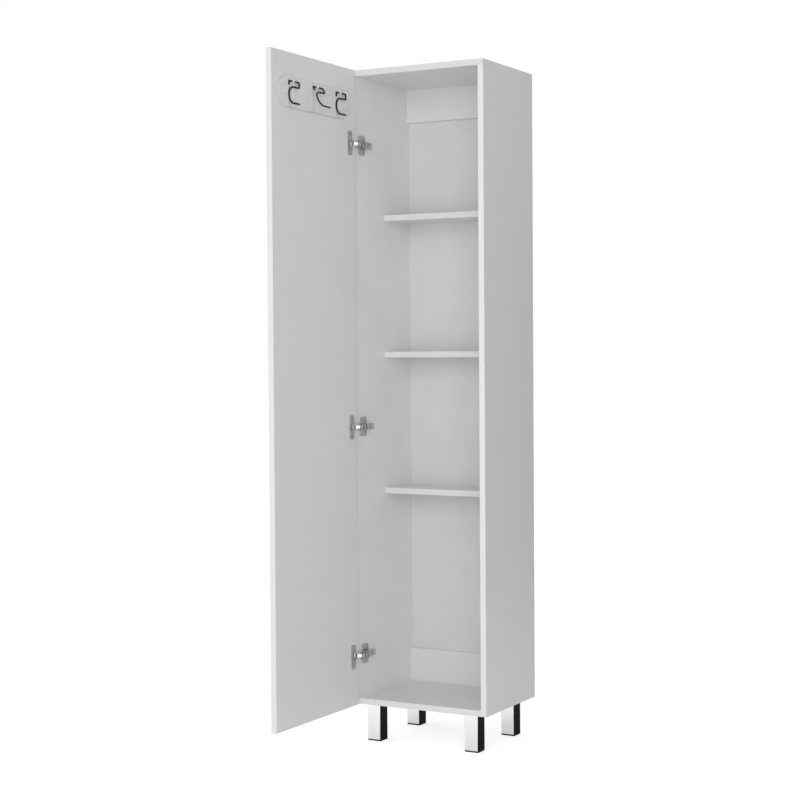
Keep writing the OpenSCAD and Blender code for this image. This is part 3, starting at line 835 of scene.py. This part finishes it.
@dataclass
class Carcass:
    """The boards of the cabinet with their joint fittings."""

    sides: tuple[str, ...] = ("side_left", "side_right")
    levels: tuple[str, ...] = ("top_panel", "bottom_panel", "shelf_upper", "shelf_middle", "shelf_lower")
    rails: tuple[str, ...] = ("rail_top", "rail_bottom")

    def board_finish(self, node: str) -> MelamineBoard:
        """Melamine with a glue line behind the board's banded front edge.

        Args:
            node: the board's node.

        Returns:
            Its finish.
        """
        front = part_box(node)[0].y
        edge = Edge(Axis.Y, front + BAND_THICKNESS, -1)
        # The left side's paper carries painted light.
        paper = PAPER_PAINTED_LIGHT.get(node, BOARD_WHITE)
        band = BAND_TONES.get(node, BOARD_WHITE)
        return MelamineBoard(
            "melamine_" + node, paper, BOARD_ROUGHNESS, edge_mm=BOARD_EDGE_MM, edges=(edge,), band=band
        )

    def dress(self) -> None:
        """Give each board, the back and the fittings their finishes."""
        for node in self.sides + self.levels:
            dress_node(node, self.board_finish(node))
        rail = MelamineBoard("melamine_rail", BOARD_WHITE, BOARD_ROUGHNESS, edge_mm=BOARD_EDGE_MM)
        for node in self.rails:
            dress_node(node, rail)
        dress_node("back_panel", PAINTED_BACK)
        dress_node("dowels", BEECH)
        dress_node("cam_nuts", DIE_CAST)
        for node in ("cam_bolts", "back_nails", "leg_bolts"):
            dress_node(node, ZINC)


@dataclass
class Legs:
    """Four chromed square tubes with black foot caps."""

    rows: tuple[str, ...] = ("front_", "back_")

    def dress(self) -> None:
        """Chrome on the tubes, black plastic on the caps."""
        for row in self.rows:
            for side in Side:
                dress_node("leg_" + row + side, CHROME)
                dress_node("foot_" + row + side, FOOT_BLACK)


@dataclass
class Hinges:
    """Three concealed hinges: mounting plate, arm, two links and the cup in the door.

    The places of the screws are those of the source: pitch of the plate's and the cup's
    screws, the plate's line behind the front, and the heights of the screws' seats.
    """

    pitch: float = 32 * MM
    plate_line: float = 37 * MM
    wing: float = 2.5 * MM
    arm_top: float = 16.5 * MM
    fix: float = 40 * MM
    adjust: float = 20 * MM
    cup_pitch: float = 48 * MM
    flange: float = 1.2 * MM
    # Share of the link's length that takes the painted highlight.
    painted_highlight_share: float = 0.73
    mouth: float = 0.1 * MM

    def cup_finish(self) -> ZonedSteel:
        """Satin nickel on the flange; painted light inside the cup, a lighter and less metallic colour that
        lifts the shade there.

        Returns:
            The finish.
        """
        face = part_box("door_panel")[1].x
        plane = face + self.mouth
        # Painted light: the inside of the cup is lighter and less metallic than the flange.
        return ZonedSteel(
            "nickel_plated_drawn_cup", NICKEL.colour, NICKEL.roughness, metallic=1.0, edge_mm=NICKEL.edge_mm,
            shade=NICKEL.shade, plane=plane, bright="#f4f3f0", gloss=0.35, metal=0.65,
        )

    def link_finish(self) -> ZonedSteel:
        """A painted highlight in front, where the links show, and a painted shade, a darker satin, at the end
        inside the arm.

        Returns:
            The finish.
        """
        low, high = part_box("inner_link_middle")
        plane = low.x + self.painted_highlight_share * (high.x - low.x)
        # Painted highlight on the links' front part; the darker satin colour behind it is painted shade.
        return ZonedSteel(
            "nickel_plated_link", "#9c9c9c", roughness=0.34, metallic=1.0, edge_mm=0.3,
            shade="#868686", plane=plane, bright="#f6f5f3", gloss=0.16,
        )

    def dress(self) -> None:
        """Plate the hinge parts and set their screws."""
        cup, link = self.cup_finish(), self.link_finish()
        finishes = {"plate_": NICKEL, "arm_": NICKEL, "cup_": cup, "inner_link_": link, "outer_link_": link}
        for level in Level:
            for part, finish in finishes.items():
                dress_node(part + level, finish)
        for node in ("arm_pins", "cup_pins"):
            dress_node(node, BRIGHT_NICKEL)
        self.screws()

    def heights(self) -> list[float]:
        """Height of the middle of each hinge."""
        boxes = [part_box("plate_" + level) for level in Level]
        return [(low.z + high.z) / 2 for low, high in boxes]

    def screws(self) -> None:
        """Cross-recess screws of the plates, arms and cups."""
        low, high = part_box("side_left")
        inner, front = high.x, low.y
        levels = self.heights()
        line = front + self.plate_line
        plate = [(inner + self.wing, line, z + s * self.pitch / 2) for z in levels for s in (-1, 1)]
        ScrewHeads("plate_screw_heads", "cabinet", PLATE_SCREW, plate).build("screw_zinc", "plate_screws")
        arm = [(inner + self.arm_top, front + y, z) for z in levels for y in (self.fix, self.adjust)]
        ScrewHeads("arm_screw_heads", "cabinet", ARM_SCREW, arm).build("screw_zinc", "arm_screws")
        cup_low, cup_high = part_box("cup_screws")
        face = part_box("door_panel")[1].x
        line = (cup_low.y + cup_high.y) / 2
        cup = [(face + self.flange, line, z + s * self.cup_pitch / 2) for z in levels for s in (-1, 1)]
        ScrewHeads("cup_screw_heads", "door", CUP_SCREW, cup).build("screw_zinc", "cup_screws")


@dataclass
class Door:
    """The door board, its bumpers and the handle outside."""

    handle: Finish = SATIN_STEEL

    def finish(self) -> MelamineBoard:
        """Melamine with glue lines beside all four banded edges.

        Returns:
            The finish.
        """
        low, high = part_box("door_panel")
        edges = (
            Edge(Axis.Y, low.y + BAND_THICKNESS, -1),
            Edge(Axis.Y, high.y - BAND_THICKNESS, 1),
            Edge(Axis.Z, low.z + BAND_THICKNESS, -1),
            Edge(Axis.Z, high.z - BAND_THICKNESS, 1),
        )
        return MelamineBoard(
            "melamine_door", BOARD_WHITE, roughness=0.34, edge_mm=0.8, edges=edges, band=BAND_BRIGHT
        )

    def dress(self) -> None:
        """Finish the board, the bumpers and the handle."""
        dress_node("door_panel", self.finish())
        dress_node("bumpers", BUMPER_CLEAR)
        dress_node("door_handle", self.handle)
        dress_node("handle_screws", ZINC)


def ease(t: float) -> float:
    """Smooth step from 0 to 1."""
    return t * t * (3 - 2 * t)


def clamp(t: float) -> float:
    """Keep a share between 0 and 1."""
    return min(1.0, max(0.0, t))


@dataclass
class HookRack:
    """Moulded rack plate with raised pads, clips and three fold-out hooks."""

    hooks: tuple[str, ...] = ("hook_left", "hook_middle", "hook_right")
    base: float = 4 * MM
    pad: float = 3 * MM
    channel: float = 1.5 * MM
    channel_in: float = 2.5 * MM
    pad_width: float = 34 * MM
    pitch: float = 106 * MM
    pad_shift: float = 2 * MM
    rim_in: float = 1.0 * MM
    edge: float = 2.4 * MM
    slope: float = 2.0 * MM
    screw_in: float = 22 * MM
    step: float = 2 * MM
    strips: int = 56
    thinnest: float = 0.02 * MM
    slope_marks: tuple[float, ...] = (0, 0.15, 0.3, 0.5, 0.7, 0.85, 1.0, 1.3)
    end_marks: tuple[float, ...] = (0.1 * MM, 0.3 * MM, 0.6 * MM, 1.0 * MM, 1.5 * MM)

    def surface(self, u: float, v: float, length: float, height: float) -> float:
        """Height of the plate's face over the door.

        Args:
            u: distance along the plate from its middle.
            v: distance up from its middle.
            length: the plate's length.
            height: the plate's height.

        Returns:
            Height in metres.
        """
        r = height / 2
        inside = r - math.hypot(max(0.0, abs(u) - (length / 2 - r)), v)
        top = self.base
        for k in (-1, 0, 1):
            away = abs(u - (k * self.pitch + self.pad_shift))
            side = clamp((self.pad_width / 2 - away) / self.slope)
            rim = clamp((inside - self.rim_in) / self.slope)
            dish = self.channel * max(0.0, 1 - (away / (self.pad_width / 2 - self.channel_in)) ** 2)
            top = max(top, self.base + (self.pad - dish) * ease(side) * ease(rim))
        if inside < self.edge:
            round_off = self.edge - math.sqrt(max(0.0, self.edge**2 - (self.edge - max(0.0, inside)) ** 2))
            top = min(top, self.base - round_off)
        return top

    def stations(self, length: float) -> list[float]:
        """Places along the plate that follow its pads' sides and round ends.

        Args:
            length: the plate's length.

        Returns:
            Distances from the plate's middle, in order.
        """
        half = length / 2
        count = int(length / self.step) + 1
        marks = {round(i * self.step - half, 6) for i in range(count)} | {half}
        for k in (-1, 0, 1):
            for side in (-1, 1):
                edge = k * self.pitch + self.pad_shift + side * self.pad_width / 2
                marks |= {round(edge - side * t * self.slope, 6) for t in self.slope_marks}
        for t in self.end_marks:
            marks |= {half - t, t - half}
        return sorted(m for m in marks if -half <= m <= half)

    def moulding(self, face: float, low: Vector, high: Vector) -> tuple[list[Point], list[Face]]:
        """Points and faces of the plate, in strips across it.

        Args:
            face: X of the door's face, where the plate lies.
            low: lowest corner of the plate.
            high: highest corner of the plate.

        Returns:
            The points and the faces.
        """
        length, height = high.y - low.y, high.z - low.z
        middle_y, middle_z = (low.y + high.y) / 2, (low.z + high.z) / 2
        straight = length / 2 - height / 2
        # The strips lie closer together near the plate's top and bottom edge.
        across = [math.sin(math.pi / 2 * (2 * i / self.strips - 1)) for i in range(self.strips + 1)]
        places = self.stations(length)
        points: list[Point] = []
        for u in places:
            half = math.sqrt(max(0.0, (height / 2) ** 2 - max(0.0, abs(u) - straight) ** 2))
            half = max(half, self.thinnest)
            for t in across:
                v = t * half
                points.append((face + self.surface(u, v, length, height), middle_y - u, middle_z + v))
            for t in (1.0, -1.0):
                points.append((face, middle_y - u, middle_z + t * half))
        row = len(across) + 2
        faces: list[Face] = []
        for i in range(len(places) - 1):
            for j in range(row):
                n = (j + 1) % row
                faces.append((i * row + j, i * row + n, (i + 1) * row + n, (i + 1) * row + j))
        faces.append(tuple(reversed(range(row))))
        faces.append(tuple((len(places) - 1) * row + k for k in range(row)))
        return points, faces

    def build(self) -> None:
        """Build the plate's moulded face and dress the clips, screws and hooks."""
        low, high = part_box("rack_plate")
        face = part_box("door_panel")[1].x
        points, faces = self.moulding(face, low, high)
        plate = new_piece("rack_moulding", "door", RACK_WHITE, points, faces)
        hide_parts("rack_plate")
        dress_node("rack_clips", CLIP_WHITE)
        for hook in self.hooks:
            dress_node(hook, HOOK_BLACK)
        middle = (low + high) / 2
        reach = (high.y - low.y) / 2 - self.screw_in
        spots = [(face + self.base, middle.y + s * reach, middle.z) for s in (-1, 1)]
        screws = ScrewHeads("rack_screw_heads", "door", RACK_SCREW, spots, finish=WHITE_LACQUER)
        screws.build("screw_white", "rack_screws")


@dataclass
class Studio:
    """Pale floor, even light and the camera at the photograph's place.

    The camera's turn is its yaw, pitch and roll in degrees.
    """

    world_level: float = 0.548
    floor_glow: float = 0.58
    floor_reach: float = 30.0
    floor_specks: float = 3.0
    felt_painted_glow: float = 0.02
    felt_nap: float = 400.0
    leg_gap: float = 5 * MM
    foot_gap: float = 0.3 * MM
    card_past: float = 50 * MM
    lamp_at: Point = (1.9, -4.15, 1.35)
    lamp_aim: Point = (0.0, 0.0, 0.9)
    lamp_side: float = 3.0
    lamp_watts: float = 71.0
    back_card: tuple[Point, ...] = ((1.3, 0.3, 0.0), (1.3, 3.0, 0.0), (1.3, 3.0, 2.4), (1.5, 1.4, 2.4))
    camera_at: Point = (2.060287, -3.638581, 0.9955)
    camera_turn: Point = (28.1864, 1.4328, -0.3338)
    lens_mm: float = 75.946
    sensor_mm: float = 36.0
    shift: tuple[float, float] = (-0.05407, -0.0077)
    clip_end: float = 100.0

    def backdrop_level(self, tree: Tree, plain: float, shown: float) -> Socket:
        """Strength that is shown to the camera, gloss and glass, and plain for the light.

        Args:
            tree: node tree of the floor or the world.
            plain: strength that lights the object.
            shown: strength that is seen.

        Returns:
            The value socket.
        """
        path = add_node(tree, "ShaderNodeLightPath").outputs
        seen = largest(tree, [path["Is Camera Ray"], path["Is Glossy Ray"], path["Is Transmission Ray"]])
        return map_range(tree, seen, (0.0, 1.0), (plain, shown))

    def glowing(self, tree: Tree, colour: Socket, glow: bpy.types.Node) -> None:
        """Finish a matt material that also gives off a little light.

        Args:
            tree: the material's node tree.
            colour: its colour.
            glow: shader of the light that it gives off.
        """
        base = add_node(tree, "ShaderNodeBsdfDiffuse", {}, {"Color": colour})
        both = add_node(tree, "ShaderNodeAddShader", {}, {0: base.outputs[0], 1: glow.outputs[0]})
        add_node(tree, "ShaderNodeOutputMaterial", {}, {"Surface": both.outputs[0]})

    def world(self) -> None:
        """Even light from all around, white where it is seen."""
        world = bpy.data.worlds.new("studio_light")
        tree = empty_tree(world)
        level = self.backdrop_level(tree, self.world_level, 1.0)
        glow = add_node(tree, "ShaderNodeBackground", {"Color": linear("#ffffff")}, {"Strength": level})
        add_node(tree, "ShaderNodeOutputWorld", {}, {"Surface": glow.outputs["Background"]})
        bpy.context.scene.world = world

    def floor(self) -> None:
        """White floor that keeps the cabinet's shadow."""
        reach = self.floor_reach
        corners = [(-reach, -reach, 0), (reach, -reach, 0), (reach, reach, 0), (-reach, reach, 0)]
        floor = link_mesh("floor", corners, [(0, 1, 2, 3)])
        paint = bpy.data.materials.new("white_floor")
        tree = empty_tree(paint)
        settings = {"Scale": self.floor_specks, "Detail": 2.0}
        speck = add_node(tree, "ShaderNodeTexNoise", settings).outputs["Fac"]
        level = self.backdrop_level(tree, 0.0, self.floor_glow)
        glow = add_node(tree, "ShaderNodeEmission", {}, {"Strength": level})
        self.glowing(tree, two_tones(tree, speck, "#fafafa", "#f6f6f6"), glow)
        floor.data.materials.append(paint)

    def felt(self) -> bpy.types.Material:
        """Black felt with a short nap and a faint painted glow, made once.

        Returns:
            The material.
        """
        paint = bpy.data.materials.get("black_felt")
        if paint is not None:
            return paint
        paint = bpy.data.materials.new("black_felt")
        tree = empty_tree(paint)
        nap = add_node(tree, "ShaderNodeTexNoise", {"Scale": self.felt_nap, "Detail": 3.0}).outputs["Fac"]
        # Painted light: the felt glows faintly though no lamp lights it.
        felt_painted_light = add_node(tree, "ShaderNodeEmission", {"Strength": self.felt_painted_glow})
        self.glowing(tree, two_tones(tree, nap, "#1c1c1c", "#242424"), felt_painted_light)
        return paint

    def card(self, name: str, corners: list[Point], lit: bool) -> None:
        """Stand up a black card that only reflections see, as a photographer does beside chrome.

        Args:
            name: the card's name.
            corners: its four corners.
            lit: whether it also keeps light off the object.
        """
        card = link_mesh(name, corners, [(0, 1, 2, 3)])
        card.visible_camera = False
        card.visible_shadow = False
        card.visible_diffuse = lit
        card.data.materials.append(self.felt())

    def cards(self) -> None:
        """Black cards that lean beside the legs' right faces, and a large one to the right behind."""
        for side in Side:
            front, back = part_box("leg_front_" + side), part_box("leg_back_" + side)
            foot, top = front[1].x + self.foot_gap, front[1].x + self.leg_gap
            y0, y1, z1 = front[0].y - self.leg_gap, back[1].y + self.card_past, front[1].z
            corners = [(foot, y0, 0.0), (foot, y1, 0.0), (top, y1, z1), (top, y0, z1)]
            self.card("leg_card_" + side, corners, lit=False)
        self.card("back_card", list(self.back_card), lit=True)

    def lamp(self) -> None:
        """One large soft light in front, which the object's gloss does not see."""
        data = bpy.data.lights.new("front_light", "AREA")
        data.shape = "SQUARE"
        data.size = self.lamp_side
        data.energy = self.lamp_watts
        lamp = bpy.data.objects.new("front_light", data)
        lamp.location = self.lamp_at
        lamp.rotation_mode = "QUATERNION"
        lamp.rotation_quaternion = (Vector(self.lamp_aim) - Vector(self.lamp_at)).to_track_quat("-Z", "Y")
        lamp.visible_glossy = False
        bpy.context.scene.collection.objects.link(lamp)

    def camera(self) -> None:
        """Camera fitted to the photograph's straight edges."""
        yaw, pitch, roll = (math.radians(a) for a in self.camera_turn)
        ahead = Vector((-math.sin(yaw) * math.cos(pitch), math.cos(yaw) * math.cos(pitch), -math.sin(pitch)))
        right = Vector((math.cos(yaw), math.sin(yaw), 0.0))
        up = right.cross(ahead)
        side = math.cos(roll) * right + math.sin(roll) * up
        top = -math.sin(roll) * right + math.cos(roll) * up
        data = bpy.data.cameras.new("camera")
        data.sensor_width = self.sensor_mm
        data.lens = self.lens_mm
        data.shift_x, data.shift_y = self.shift
        data.clip_end = self.clip_end
        camera = bpy.data.objects.new("camera", data)
        turn = Matrix((side, top, -ahead)).transposed().to_4x4()
        camera.matrix_world = Matrix.Translation(self.camera_at) @ turn
        bpy.context.scene.collection.objects.link(camera)
        bpy.context.scene.camera = camera

    def build(self) -> None:
        """Set the camera, the world, the floor, the cards and the lamp."""
        self.camera()
        self.world()
        self.floor()
        self.cards()
        self.lamp()
        bpy.context.scene.view_settings.view_transform = "Standard"


def main() -> None:
    """Build and dress the cabinet, then the studio round it."""
    logging.basicConfig(level=logging.INFO, format="%(name)s %(message)s")
    Studio().build()
    Carcass().dress()
    Legs().dress()
    Hinges().dress()
    Door().dress()
    HookRack().build()


if __name__ == "__main__":
    main()
